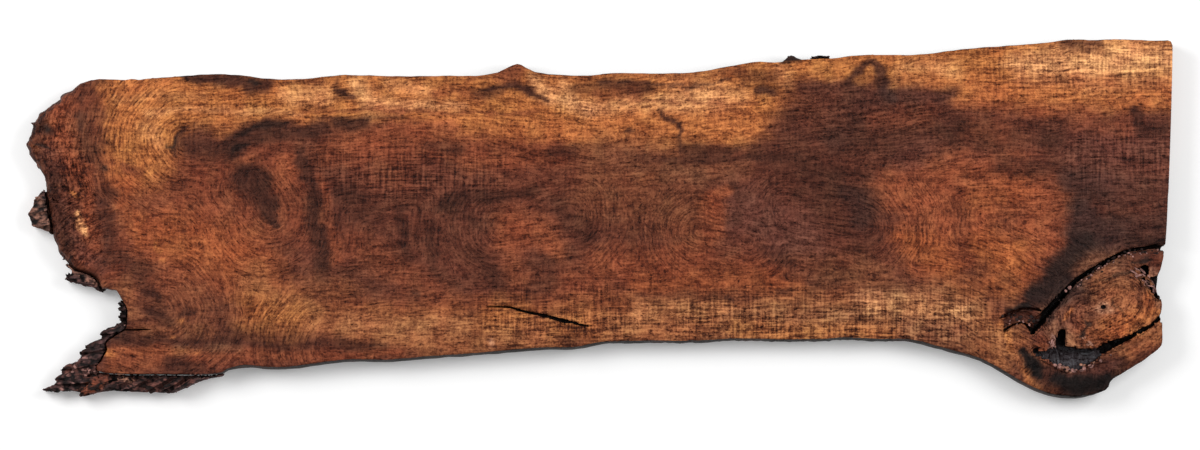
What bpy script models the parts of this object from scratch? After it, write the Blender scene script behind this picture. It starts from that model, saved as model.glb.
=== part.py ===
"""Live-edge walnut slab: one board sawn through a trunk where a limb joined it.

X runs along the board, Y across it towards its straighter live edge, Z up out of its face.
The origin is on the underside, at the middle of the board's length and width.
"""
import math
from collections import namedtuple

import bmesh
import bpy
from mathutils import Vector, noise
from mathutils.geometry import delaunay_2d_cdt

for old_object in list(bpy.data.objects):
    bpy.data.objects.remove(old_object, do_unlink=True)

# Driving dimensions, in metres
MM = 0.001
THICKNESS = 0.054
FIT_GAP = 0.0006
WELD = 0.000002
BARK_GROUND_CLEARANCE = 0.001
CREVICE_DEPTH = 0.034
CHECK_DEPTH = 0.012
PITH_DEPTH = 0.006
MOUTH_DEPTH = 0.002

# Stations round the edge are measured in millimetres from a datum corner off the board's upper
# left: first along the board, then down across it. The datum is this far from the origin.
DATUM_X = 1195.5
DATUM_Y = 436.4

UPPER_EDGE = (
    (2338, 79), (2300, 77.6), (2260, 76), (2230, 75.2), (2200, 76.4), (2180, 76.8), (2160, 75.8),
    (2136, 76.6), (2110, 79.8), (2080, 83.4), (2030, 87.4), (1970, 91.8), (1910, 97.2),
    (1870, 103), (1830, 106.8), (1790, 106.6), (1740, 106.4), (1704, 108.6), (1672, 113.2),
    (1622, 115.2), (1604, 115.8), (1594, 113), (1589, 109.2), (1583, 107.6), (1577, 109.6),
    (1571, 115.2), (1564, 120.4), (1550, 121.8), (1520, 120.4), (1500, 122), (1470, 127.6),
    (1436, 133.8), (1400, 140), (1360, 143), (1310, 144.2), (1260, 143.2), (1224, 143.4),
    (1196, 146.4), (1166, 148.6), (1130, 147.2), (1096, 145), (1070, 140.4), (1052, 132.8),
    (1043, 127.2), (1034, 124.4), (1024, 127), (1010, 134.2), (994, 141.8), (974, 146.4),
    (950, 148.6), (900, 148.4), (840, 149.4), (790, 149.4), (730, 147.8), (690, 147),
    (650, 150.4), (610, 154.4), (560, 155.6), (524, 153.8), (500, 149.6), (476, 146.8),
    (460, 147), (448, 145.4), (420, 145.6), (380, 148), (330, 152), (296, 153.8), (276, 156.6),
    (268, 155), (260, 155), (250, 156.8), (220, 155.6), (196, 155.2), (176, 158.4), (158, 164),
    (145, 173),
)

LEFT_END = (
    (140, 177), (129, 180.4), (119, 185.6), (115, 189.6), (114, 194.4), (107, 198.8),
    (100, 203.2), (90, 211.2), (82, 217.6), (76, 218), (71, 222.4), (68, 230), (62, 238),
    (56, 240.4), (54, 244.4), (58, 249.6), (56.8, 258), (53.6, 269), (47.2, 280), (44, 288),
    (46, 296), (50.4, 300.4), (51.2, 308), (56.8, 314.8), (62, 322), (67.2, 328), (69.2, 336),
    (75, 344), (81, 354), (84.8, 364), (86, 374), (88, 390), (91, 410), (94, 430), (97, 450),
    (100, 468), (104, 482), (109, 492), (112, 504), (119, 513), (125, 520), (131, 526),
    (142, 536), (156, 542.8), (172, 548), (184, 554), (193, 563), (199, 573),
)

NOTCH = (
    (204, 578), (214, 578.6), (222, 582), (231, 582.6), (236, 589), (241, 599), (249, 611),
    (254, 623), (252.8, 636), (252, 648), (249, 659.6), (236, 666.4), (221, 675.2),
    (211, 687.2), (213, 698), (207, 710), (201, 722), (192, 731.2),
)

UNDER_BARK = (
    (194, 743), (208, 746.8), (224, 748), (250, 749.6), (280, 750.4), (320, 750), (360, 750.4),
    (400, 750.4), (430, 750), (445, 748.4),
)

LOWER_EDGE = (
    (456, 742), (476, 737.8), (500, 735.6), (524, 738.4), (556, 739.8), (584, 738.8),
    (620, 734), (660, 728.4), (700, 724.4), (740, 724.8), (770, 725.4), (804, 723.4),
    (850, 718.8), (896, 715.8), (940, 712.8), (1000, 708), (1060, 702.8), (1100, 700),
    (1144, 700.2), (1166, 697.8), (1184, 693.8), (1206, 690.4), (1250, 688.4), (1300, 687.2),
    (1360, 688.6), (1410, 687), (1470, 683.4), (1530, 684.8), (1600, 685.6), (1644, 684.4),
    (1690, 682.2), (1760, 684.6), (1810, 684.8), (1844, 690), (1884, 701.2), (1924, 711.6),
    (1960, 722.8), (2000, 744), (2040, 768), (2076, 785.2), (2110, 795), (2140, 798),
    (2166, 796.6),
)

KNOT_RIM = (
    (2184, 792), (2198, 786), (2211, 780.6), (2218, 774), (2220.6, 766), (2227, 759.2),
    (2248, 746), (2276, 729), (2300, 712), (2316, 700), (2324, 691), (2326, 678), (2326, 660),
    (2325.6, 648), (2321.2, 642), (2322, 634), (2324.6, 622), (2326, 611), (2325.2, 601),
    (2319, 595.2), (2315.2, 588), (2315.2, 574), (2316, 560), (2318, 550), (2323, 540),
    (2326.4, 526), (2329.2, 512), (2329.6, 503), (2324.4, 497.2),
)

SAWN_END = (
    (2332.4, 488.4), (2334.6, 449), (2338.2, 370), (2341.4, 292), (2344.2, 214), (2346.4, 136),
    (2347.4, 96), (2347.4, 90), (2344.4, 81.5),
)

# How each stretch of the edge is shaped, in millimetres: the step between its points, how rough
# it is, how far its top lip is drawn in, how deep its rounded shoulder goes, and how far the
# underside is drawn in.
Stretch = namedtuple("Stretch", "stations step rough lip shoulder under")

STRETCHES = (
    Stretch(UPPER_EDGE, 14, 0.7, 2.5, 9, 5),
    Stretch(LEFT_END, 6, 1.6, 22, 22, 9),
    Stretch(NOTCH, 6, 1.5, 3, 8, 4),
    Stretch(UNDER_BARK, 14, 0.5, 3, 8, 3),
    Stretch(LOWER_EDGE, 14, 0.7, 6.5, 30, 10),
    Stretch(KNOT_RIM, 8, 0.8, 2, 6, 3),
    Stretch(SAWN_END, 30, 0, 1.2, 1.5, 0.8),
)

# Rings down the edge: the share of the shoulder's depth, and the share of the lip that is left
SHOULDER_RINGS = ((0, 1), (0.12, 0.62), (0.45, 0.25), (1, 0.05))
BELLY_HEIGHT = 0.35
SMOOTHING = 30
ROUGH_SCALE = 26
FACE_GRID = 0.09

# The knot's crevice: millimetres along, across and wide. It starts outside the edge.
CREVICE = (
    (2340, 497, 9), (2324, 496, 8), (2310, 492, 8), (2290, 496, 5), (2260, 500, 3.4),
    (2240, 508, 6), (2220, 518, 6), (2200, 530, 6), (2180, 542, 6.4), (2160, 554, 6.6),
    (2150, 562, 7.4), (2136, 576, 9), (2120, 594, 10.4), (2104, 612, 12), (2090, 628, 13),
    (2076, 644, 14), (2066, 656, 12), (2062, 668, 5),
)

# Narrow checks and splits in the face: their points (along, across, wide) and their depth
CHECKS = {
    "upper_side_split": (
        ((1998, 637, 1.2), (2020, 626, 2.6), (2040, 618, 3), (2060, 617, 3.4), (2082, 621, 3)),
        0.018,
    ),
    "lower_side_split": (
        ((2006, 661, 1.2), (2024, 650, 2.8), (2044, 644, 3.2), (2056, 652, 3.6), (2063, 663, 4)),
        0.020,
    ),
    "rim_split": (
        ((2286, 557, 3), (2300, 571, 4.4), (2310, 585, 4.6), (2317, 596, 3)),
        0.026,
    ),
    "knot_split": (
        (
            (2222, 683, 2), (2246, 678, 3.4), (2262, 673, 4), (2280, 662, 4), (2300, 652, 3.6),
            (2312, 642, 4), (2326, 628, 4.6), (2336, 620, 5),
        ),
        0.018,
    ),
    "middle_check": (
        (
            (974, 614, 0.9), (1000, 613.6, 1.8), (1022, 615, 2.8), (1044, 622, 3), (1068, 627, 3),
            (1092, 632, 3.4), (1114, 638, 4.2), (1136, 644, 4.8), (1146, 645, 3.4),
            (1164, 650, 1.6), (1178, 652.6, 0.8),
        ),
        CHECK_DEPTH,
    ),
    "left_check": (
        ((240, 660.4, 3.6), (252, 659.4, 3.2), (267, 660, 2.6), (286, 659, 1.8), (304, 658.4, 0.8)),
        CHECK_DEPTH,
    ),
}

# The rotted pit under the knot's heart: matching points on its lower and its upper side
PIT = (
    ((2066, 700), (2070, 697)), ((2074, 712), (2078, 704)), ((2092, 714), (2096, 702)),
    ((2104, 722), (2108, 694)), ((2116, 730), (2120, 690)), ((2132, 738), (2134, 694)),
    ((2148, 742), (2148, 696)), ((2160, 738), (2160, 698)), ((2168, 730), (2172, 699)),
    ((2182, 722), (2184, 700)), ((2194, 712), (2196, 696)), ((2208, 704), (2208, 688)),
    ((2226, 694), (2224, 682)), ((2242, 686), (2244, 678)), ((2260, 676), (2262, 672)),
    ((2272, 668), (2270, 665)),
)
PIT_FINGER = (
    (2122, 706, 16), (2120, 690, 16), (2120, 678, 13), (2124, 668, 13), (2125, 659, 9),
)
PIT_DEPTH = 0.027
PIT_FLOOR = 0.55
PIT_FINGER_DEPTH = 0.023
TRENCH_FLOOR = 0.35
BREAK_FLOOR = 0.9
PITH_FLOOR = 0.6
CUTTER_OVERRUN = 0.006
CLEARANCE_OVERRUN = 0.02

# Broken-out places at the knot: their outlines and how deep the wood is gone
BREAKS = {
    "rim_hole": (
        (
            (2274, 536), (2282, 536), (2284, 531), (2292, 530), (2297, 534), (2297, 548),
            (2290, 553), (2285, 546), (2280, 542),
        ),
        0.022,
    ),
    "rim_step": (
        ((2300, 554), (2334, 550), (2334, 594), (2314, 592), (2306, 578)),
        0.013,
    ),
    "split_lump": (
        ((2004, 640), (2022, 630), (2042, 623), (2058, 623), (2070, 640), (2058, 645),
         (2042, 640), (2022, 646), (2008, 656)),
        0.005,
    ),
}

PITH_CENTRE = (2206, 614)
PITH_RADII = (5.6, 3.8)
PITH_SIDES = 10

# The bark left at the lower left: its own outer edge, then a line well inside the board, which
# the board's edge trims back
FOOT_OUTLINE = (
    (241, 598), (232, 606), (238, 610.4), (232, 616), (236.8, 621.6), (241, 624.8),
    (235.2, 629.6), (232.8, 633.6), (238.8, 637.6), (238.8, 642.8), (234, 646.4), (227, 650),
    (218, 651.2), (209, 656.4), (201, 660.4), (197.6, 664.8), (195.6, 669.2), (200.4, 671.2),
    (200, 675.6), (191, 682), (182, 688), (175, 690), (166.8, 693.2), (170.4, 697.2),
    (167, 700.4), (159.6, 702.8), (154.8, 705.2), (159.2, 710.8), (157.2, 714.4),
    (151.6, 719.2), (153.2, 722), (146, 724.4), (135, 726), (127, 730.4), (121, 736),
    (117.2, 739.2), (120.4, 743.2), (120, 748), (113, 751.6), (106, 755.6), (106.4, 760),
    (110, 763.2), (105.2, 768.4), (97, 772.4), (89, 774.4), (81.6, 778.4), (87, 783.2),
    (100, 783.6), (120, 782), (136, 782), (148, 783.6), (158, 785.2), (153.6, 790),
    (156, 793.2), (166, 793.6), (178, 790.4), (192, 786.4), (208, 783.6), (228, 782.6),
    (256, 784.4), (284, 785.6), (312, 785.6), (332, 786.8), (345, 786.8), (356, 783.2),
    (372, 775.2), (388, 768.4), (404, 762), (420, 757.2), (436, 752.8), (447, 748.4),
    (436, 742), (400, 740), (320, 740), (240, 738), (224, 728), (232, 704), (240, 690),
    (262, 672), (266, 650), (264, 628), (254, 606),
)
FOOT_BODY_TOP = 0.030
FOOT_RIM = 0.985

# Bark plates, from root to tip: along, across, along, across, width, and the height of the top
Plate = namedtuple("Plate", "root_x root_y tip_x tip_y width top")

FOOT_PLATES = (
    Plate(250, 607, 233, 606.5, 8, 43), Plate(252, 621, 233, 616.5, 8, 40),
    Plate(254, 632, 233.5, 633, 9, 44), Plate(250, 647, 230, 648, 9, 41),
    Plate(258, 654, 198, 667, 17, 46), Plate(236, 672, 168, 693, 17, 42),
    Plate(224, 688, 156, 705, 17, 45), Plate(214, 703, 153, 720, 17, 40),
    Plate(204, 718, 122, 737, 20, 43), Plate(200, 735, 107, 758, 22, 38),
    Plate(196, 757, 107, 767, 15, 42), Plate(178, 776, 83, 778.5, 12, 36),
    Plate(222, 752, 158, 786, 20, 44), Plate(262, 756, 157, 792, 14, 39),
    Plate(338, 752, 282, 783, 15, 43), Plate(368, 752, 314, 784, 15, 40),
    Plate(408, 750, 342, 784, 15, 45), Plate(300, 752, 240, 781, 14, 41),
)
PLATE_FOOT = 0.005
PLATE_FOOT_STEP = 0.0013
PLATE_FOOT_CYCLE = 7
PLATE_RIM = 0.8
RIM_HEIGHT = 0.003

TUFT_OUTLINE = (
    (86, 380), (80, 379), (74, 386), (70, 392), (63, 398), (62, 406), (60, 412), (56, 420),
    (50, 427), (54, 434), (57, 444), (61, 453), (66, 454), (76, 458), (86, 462), (94, 464),
    (99, 468), (108, 466), (110, 448), (106, 424), (102, 400), (98, 382),
)
TUFT_PLATES = (
    Plate(92, 396, 66, 394, 13, 44), Plate(96, 414, 54, 426, 16, 40),
    Plate(100, 444, 60, 450, 14, 45),
)

SHELF_OUTLINE = (
    (130, 526), (127, 529), (138, 536), (140, 542), (136, 548), (128, 552), (125, 558),
    (132, 562), (138, 566), (144, 564), (150, 568), (160, 570), (164, 573), (180, 573),
    (186, 577), (194, 583), (200, 584), (204, 582), (212, 572), (196, 552), (176, 540),
    (150, 532), (138, 524),
)
SHELF_PLATES = (
    Plate(160, 552, 127, 557, 13, 43), Plate(190, 566, 150, 566, 9, 40),
)

CHIP_OUTLINE = (
    (1622, 115), (1634, 110.6), (1642, 108), (1648, 110), (1658, 110.4), (1662, 113.2),
    (1658, 120), (1640, 122), (1626, 120),
)
CHIP_BOTTOM = 0.010
CHIP_TOP = 0.048
LOOSE_BARK_BOTTOM = 0.006
LOOSE_BARK_TOP = 0.034
LOOSE_RIM = 0.94


def place(along, across, height=0.0):
    """A point measured from the datum corner in millimetres, with its height in metres."""
    return Vector(((along - DATUM_X) * MM, (DATUM_Y - across) * MM, height))


def material(name, colour, roughness):
    made = bpy.data.materials.new(name)
    made.use_nodes = True
    shader = made.node_tree.nodes["Principled BSDF"]
    shader.inputs["Base Color"].default_value = (*colour, 1)
    shader.inputs["Roughness"].default_value = roughness
    shader.inputs["Metallic"].default_value = 0
    return made


def curve_point(before, start, end, after, share):
    """A point between start and end on the centripetal curve through the four points."""
    knots = [0.0]
    points = (before, start, end, after)
    for first, second in zip(points, points[1:]):
        knots.append(knots[-1] + max((second - first).length, 1e-6) ** 0.5)
    at = knots[1] + share * (knots[2] - knots[1])

    def blend(p, q, t_p, t_q):
        return p.lerp(q, (at - t_p) / (t_q - t_p))

    low = blend(before, start, knots[0], knots[1])
    middle = blend(start, end, knots[1], knots[2])
    high = blend(end, after, knots[2], knots[3])
    low_pair = blend(low, middle, knots[0], knots[2])
    high_pair = blend(middle, high, knots[1], knots[3])
    return blend(low_pair, high_pair, knots[1], knots[2])


def edge_samples():
    """Points round the edge, counter-clockwise, each with the stretch it belongs to."""
    stations = [(place(*station), stretch) for stretch in STRETCHES for station in stretch.stations]
    count = len(stations)
    samples = []
    for i, (start, stretch) in enumerate(stations):
        before = stations[i - 1][0]
        end = stations[(i + 1) % count][0]
        after = stations[(i + 2) % count][0]
        pieces = max(1, round((end - start).length / (stretch.step * MM)))
        for k in range(pieces):
            samples.append((curve_point(before, start, end, after, k / pieces), stretch))
    return samples


def smooth_along(samples, values):
    """The values averaged round the closed edge with a bell-shaped window."""
    count = len(samples)
    smoothed = []
    for i in range(count):
        total = values[i] * 1.0
        weight = 1.0
        for direction in (1, -1):
            travelled = 0.0
            j = i
            while travelled < 2 * SMOOTHING * MM:
                following = (j + direction) % count
                travelled += (samples[following][0] - samples[j][0]).length
                j = following
                share = math.exp(-((travelled / (SMOOTHING * MM)) ** 2) * 2)
                total += values[j] * share
                weight += share
        smoothed.append(total * (1 / weight))
    return smoothed


def outward_directions(samples):
    """Smoothed directions out of the board, one for each point."""
    count = len(samples)
    raw = []
    for i in range(count):
        run = samples[(i + 1) % count][0] - samples[i - 1][0]
        raw.append(Vector((run.y, -run.x, 0)).normalized())
    return [direction.normalized() for direction in smooth_along(samples, raw)]


def roughness_at(point, amount):
    """A small wander in millimetres, the same at every run."""
    coarse = noise.noise(point / (ROUGH_SCALE * MM))
    fine = noise.noise(point / (ROUGH_SCALE * 0.4 * MM) + Vector((7, 3, 1)))
    return amount * (coarse + 0.45 * fine)


EDGE = edge_samples()
OUTWARD = outward_directions(EDGE)
LIP = smooth_along(EDGE, [stretch.lip for _, stretch in EDGE])
SHOULDER = smooth_along(EDGE, [stretch.shoulder for _, stretch in EDGE])
UNDER = smooth_along(EDGE, [stretch.under for _, stretch in EDGE])


def edge_ring(insets, heights):
    ring = []
    for (point, stretch), outward, inset, height in zip(EDGE, OUTWARD, insets, heights):
        wander = roughness_at(point, stretch.rough)
        moved = point + outward * ((wander - inset) * MM)
        ring.append(Vector((moved.x, moved.y, height)))
    return ring


def board_rings(growth=0.0):
    """Rings from the face down to the underside, each pushed outwards by the growth in mm."""
    rings = []
    for depth_share, lip_share in SHOULDER_RINGS:
        insets = [lip * lip_share - growth for lip in LIP]
        heights = [THICKNESS - shoulder * depth_share * MM for shoulder in SHOULDER]
        rings.append(edge_ring(insets, heights))
    rings.append(edge_ring([-growth] * len(EDGE), [THICKNESS * BELLY_HEIGHT] * len(EDGE)))
    rings.append(edge_ring([under - growth for under in UNDER], [0.0] * len(EDGE)))
    return rings


def raised(ring, height):
    return [Vector((point.x, point.y, height)) for point in ring]


def grid_inside(outline, spacing):
    """Points on a square grid over the outline's box that keep clear of the outline's own."""
    low_x, high_x = min(p.x for p in outline), max(p.x for p in outline)
    low_y, high_y = min(p.y for p in outline), max(p.y for p in outline)
    points = []
    for i in range(1, math.ceil((high_x - low_x) / spacing)):
        for j in range(1, math.ceil((high_y - low_y) / spacing)):
            point = Vector((low_x + i * spacing, low_y + j * spacing))
            if min((point - corner).length for corner in outline) > spacing * 0.4:
                points.append(point)
    return points


def fill(bm, ring, facing_up, spacing):
    """Close a level ring with triangles, through grid points where a spacing is given."""
    outline = [vertex.co.xy.copy() for vertex in ring]
    inner = grid_inside(outline, spacing) if spacing else []
    border = list(range(len(outline)))
    places, _, faces, origins, _, _ = delaunay_2d_cdt(outline + inner, [], [border], 1, 1e-8)
    corners = {}
    for face in faces:
        loop = []
        for i in face:
            if i not in corners:
                source = origins[i][0]
                is_border = source < len(outline)
                corners[i] = ring[source] if is_border else bm.verts.new(
                    (places[i].x, places[i].y, ring[0].co.z)
                )
            loop.append(corners[i])
        bm.faces.new(loop if facing_up else loop[::-1])


def loft(name, rings, finish, spacing=0.0):
    """A closed solid through rings that run counter-clockwise, from the top one down."""
    mesh = bpy.data.meshes.new(name)
    bm = bmesh.new()
    levels = [[bm.verts.new(point) for point in ring] for ring in rings]
    for upper, lower in zip(levels, levels[1:]):
        for i in range(len(upper)):
            j = (i + 1) % len(upper)
            bm.faces.new((upper[i], lower[i], lower[j], upper[j]))
    fill(bm, levels[0], True, spacing)
    fill(bm, levels[-1], False, spacing)
    bm.to_mesh(mesh)
    bm.free()
    mesh.materials.append(finish)
    made = bpy.data.objects.new(name, mesh)
    bpy.context.scene.collection.objects.link(made)
    return made


def counter_clockwise(ring):
    area = sum(p.x * q.y - q.x * p.y for p, q in zip(ring, ring[1:] + ring[:1]))
    return ring if area > 0 else list(reversed(ring))


def trench(name, path, depth, floor_share=TRENCH_FLOOR):
    """A cutter along a path of (along, across, wide), open at the face and narrowing downwards."""
    centres = [place(x, y) for x, y, _ in path]
    left, right = [], []
    for i, centre in enumerate(centres):
        run = centres[min(i + 1, len(centres) - 1)] - centres[max(i - 1, 0)]
        side = Vector((-run.y, run.x, 0)).normalized() * (path[i][2] * 0.5 * MM)
        left.append(centre + side)
        right.append(centre - side)
    return trench_between(name, left, right, depth, floor_share)


def trench_between(name, left, right, depth, floor_share):
    """A cutter between two sides, whose floor is a narrower copy of its mouth."""
    def ring(share, height):
        low = [l.lerp(r, (1 - share) / 2) for l, r in zip(left, right)]
        high = [r.lerp(l, (1 - share) / 2) for l, r in zip(left, right)]
        return raised(counter_clockwise(low + high[::-1]), height)

    rings = [
        ring(1.0, THICKNESS + CUTTER_OVERRUN),
        ring(1.0, THICKNESS - MOUTH_DEPTH),
        ring(floor_share, THICKNESS - depth),
    ]
    return loft(name, rings, WALNUT)


def prism(name, outline, bottom, top, finish, floor_share=1.0, rim_share=1.0):
    """A plate of the given outline, whose floor or upper rim may be a smaller copy of it."""
    ring = counter_clockwise([place(*point) for point in outline])
    centre = sum(ring, Vector()) / len(ring)

    def shrunk(share, height):
        return raised([centre + (point - centre) * share for point in ring], height)

    rings = [shrunk(rim_share, top), shrunk(floor_share, bottom)]
    if rim_share < 1:
        rings.insert(1, shrunk(1, top - RIM_HEIGHT))
    return loft(name, rings, finish)


def face_cutter(name, outline, depth, floor_share):
    """A cutter that takes an outline out of the face down to a depth."""
    top = THICKNESS + CUTTER_OVERRUN
    return prism(name, outline, THICKNESS - depth, top, WALNUT, floor_share)


def pith_outline():
    turns = [math.tau * i / PITH_SIDES for i in range(PITH_SIDES)]
    return [
        (PITH_CENTRE[0] + PITH_RADII[0] * math.cos(turn),
         PITH_CENTRE[1] + PITH_RADII[1] * math.sin(turn))
        for turn in turns
    ]


# The plan of a bark plate: share of its length, and of its width, from root to tip
PLATE_PLAN = ((0, -0.42), (0.35, -0.5), (0.7, -0.4), (0.93, -0.2), (1.0, 0.06), (0.9, 0.24),
              (0.62, 0.44), (0.3, 0.48), (0, 0.4))


def bark_plate(name, plate, bottom):
    """A tapered tongue that ends in a blunt, slightly skewed tip."""
    root = place(plate.root_x, plate.root_y)
    tip = place(plate.tip_x, plate.tip_y)
    run = tip - root
    side = Vector((-run.y, run.x, 0)).normalized() * (plate.width * MM)
    outline = []
    for along, across in PLATE_PLAN:
        point = root + run * along + side * across
        outline.append((point.x / MM + DATUM_X, DATUM_Y - point.y / MM))
    return prism(name, outline, bottom, plate.top * MM, BARK, rim_share=PLATE_RIM)


def boolean(target, operation, operand=None, collection=None):
    """Apply one exact Boolean to the target and remove what it used."""
    cut = target.modifiers.new(operation.lower(), "BOOLEAN")
    cut.operation = operation
    cut.solver = "EXACT"
    if collection:
        cut.operand_type = "COLLECTION"
        cut.collection = collection
        used = list(collection.objects)
    else:
        cut.object = operand
        used = [operand]
    bpy.context.view_layer.update()
    graph = bpy.context.evaluated_depsgraph_get()
    result = bpy.data.meshes.new_from_object(target.evaluated_get(graph))
    target.modifiers.clear()
    result.name = target.name
    target.data = result
    for helper in used:
        bpy.data.objects.remove(helper, do_unlink=True)
    if collection:
        bpy.data.collections.remove(collection)


def keep_main_body(target):
    """Weld the mesh and drop every loose scrap, keeping the body with the most points."""
    bm = bmesh.new()
    bm.from_mesh(target.data)
    bmesh.ops.remove_doubles(bm, verts=bm.verts, dist=WELD)
    unseen = set(bm.verts)
    bodies = []
    while unseen:
        front = [unseen.pop()]
        body = set(front)
        while front:
            for edge in front.pop().link_edges:
                for vertex in edge.verts:
                    if vertex in unseen:
                        unseen.discard(vertex)
                        body.add(vertex)
                        front.append(vertex)
        bodies.append(body)
    bodies.sort(key=len)
    scraps = [vertex for body in bodies[:-1] for vertex in body]
    bmesh.ops.delete(bm, geom=scraps, context="VERTS")
    bmesh.ops.triangulate(bm, faces=bm.faces)
    bm.to_mesh(target.data)
    bm.free()


def build_board():
    board = loft("slab", board_rings(), WALNUT, FACE_GRID)
    cutters = [trench("crevice", CREVICE, CREVICE_DEPTH)]
    lower = [place(*pair[0]) for pair in PIT]
    upper = [place(*pair[1]) for pair in PIT]
    cutters.append(trench_between("pit", upper, lower, PIT_DEPTH, PIT_FLOOR))
    cutters.append(trench("pit_finger", PIT_FINGER, PIT_FINGER_DEPTH, PIT_FLOOR))
    for name, (path, depth) in CHECKS.items():
        cutters.append(trench(name, path, depth))
    for name, (outline, depth) in BREAKS.items():
        cutters.append(face_cutter(name, outline, depth, BREAK_FLOOR))
    cutters.append(face_cutter("pith", pith_outline(), PITH_DEPTH, PITH_FLOOR))
    for cutter in cutters:
        boolean(board, "DIFFERENCE", cutter)
    keep_main_body(board)


def board_clearance():
    """The board grown by the fitting gap and run past both faces, to trim the bark by."""
    rings = board_rings(FIT_GAP / MM)
    rings.insert(0, raised(rings[0], THICKNESS + CLEARANCE_OVERRUN))
    rings.append(raised(rings[-1], -CLEARANCE_OVERRUN))
    return loft("clearance", rings, WALNUT)


def build_bark(name, outline, bottom, top, rim_share, plates=()):
    """A clump of bark: its body and plates joined, then trimmed to the board's edge."""
    body = prism(name, outline, bottom, top, BARK, rim_share=rim_share)
    if plates:
        group = bpy.data.collections.new(name + " plates")
        bpy.context.scene.collection.children.link(group)
        for i, plate in enumerate(plates):
            bottom = PLATE_FOOT + (i % PLATE_FOOT_CYCLE) * PLATE_FOOT_STEP
            made = bark_plate(f"{name} plate {i}", plate, bottom)
            bpy.context.scene.collection.objects.unlink(made)
            group.objects.link(made)
        boolean(body, "UNION", collection=group)
    boolean(body, "DIFFERENCE", board_clearance())
    keep_main_body(body)


WALNUT = material("walnut wood", (0.20, 0.080, 0.035), 0.55)
BARK = material("bark", (0.035, 0.022, 0.020), 0.85)

build_board()
build_bark("bark_foot", FOOT_OUTLINE, BARK_GROUND_CLEARANCE, FOOT_BODY_TOP, FOOT_RIM, FOOT_PLATES)
build_bark("bark_tuft", TUFT_OUTLINE, LOOSE_BARK_BOTTOM, LOOSE_BARK_TOP, LOOSE_RIM, TUFT_PLATES)
build_bark("bark_shelf", SHELF_OUTLINE, LOOSE_BARK_BOTTOM, LOOSE_BARK_TOP, LOOSE_RIM, SHELF_PLATES)
build_bark("bark_chip", CHIP_OUTLINE, CHIP_BOTTOM, CHIP_TOP, LOOSE_RIM)
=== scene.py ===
import math
import random

import bmesh
import bpy
import numpy as np
from mathutils import Matrix, Vector, noise


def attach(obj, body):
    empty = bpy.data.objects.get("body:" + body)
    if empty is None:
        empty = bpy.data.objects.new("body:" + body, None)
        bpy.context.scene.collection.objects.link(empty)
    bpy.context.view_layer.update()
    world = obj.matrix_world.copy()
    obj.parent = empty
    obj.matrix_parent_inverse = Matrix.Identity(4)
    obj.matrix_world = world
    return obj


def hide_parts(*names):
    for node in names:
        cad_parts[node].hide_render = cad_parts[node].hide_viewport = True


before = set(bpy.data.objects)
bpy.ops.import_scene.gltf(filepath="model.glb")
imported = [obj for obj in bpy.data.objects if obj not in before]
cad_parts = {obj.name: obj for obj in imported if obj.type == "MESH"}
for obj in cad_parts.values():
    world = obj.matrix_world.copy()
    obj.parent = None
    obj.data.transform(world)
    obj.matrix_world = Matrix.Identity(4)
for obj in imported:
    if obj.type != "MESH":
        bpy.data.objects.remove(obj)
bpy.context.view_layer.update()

# Places on the face are counted in steps of 2 mm, along the board and down across it, from a
# datum corner off its upper left
STEP = 0.002
DATUM_ALONG = 597.75
DATUM_DOWN = 218.2

# The board in metres, and how near two points lie that count as one
THICKNESS = 0.054
REACH_ALONG = 1.16
REACH_ACROSS = 0.37
RIDGES_END = 1.142
SAWN_END = (1.140, 1.146)
TOUCHING = 1e-6

# How deep the relief goes, in metres
EDGE_RELIEF = 0.0016
BURL_FOLDS = 0.0055
BURL_BUMPS = 0.0026
BARK_THREADS = 0.0016
BARK_LUMPS = 0.003
BARK_CRACKS = 0.002

# The knot and the swelling round it: middle, half length and half width, in steps
KNOT_OVAL = (1108, 312, 62, 56)
SWELLING_OVAL = (1094, 318, 96, 82)

# How far along the burled left end reaches, on the board's side and on its face
BURL_SIDE_END = 100
BURL_FACE_END = 118

# The longest edges of the meshes, in metres
FACE_SQUARE = 0.0055
FACE_EDGE = 0.02
UNDER_SQUARE = 0.03
UNDER_EDGE = 0.05
SIDE_EDGE = 0.012
FOLD_EDGE = 0.0065
BARK_EDGE = 0.0045

# When splitting stops, and the angle past which an edge looks sharp
FEWEST_SPLITS = 20
SHARP_ANGLE = math.radians(42)

# The camera: lens and sensor in millimetres, its view in steps, and its lean
LENS = 150
SENSOR = 36
SEEN_STEPS = 1200
SEEN_MIDDLE = (600, 225)
LEAN = math.radians(2.5)

# The lamps light the floor white, so finishes take this share of the colour the eye sees
LIGHT_SHARE = 0.8

# Wood and bark colours as the eye sees them, 0 to 255
WOOD = {
    "pale": (220, 153, 103),
    "gold": (179, 107, 59),
    "honey": (186, 108, 61),
    "tan": (150, 90, 57),
    "dun": (132, 86, 62),
    "earth": (117, 67, 45),
    "amber": (158, 84, 48),
    "rust": (144, 75, 48),
    "russet": (122, 61, 40),
    "heart": (100, 53, 39),
    "plum": (104, 59, 48),
    "umber": (67, 35, 26),
    "ink": (66, 41, 36),
    "soot": (44, 28, 25),
    "black": (20, 14, 14),
    "slate": (66, 62, 66),
    "bone": (176, 128, 106),
    "bark": (88, 62, 60),
    "rose": (166, 124, 116),
}

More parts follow.
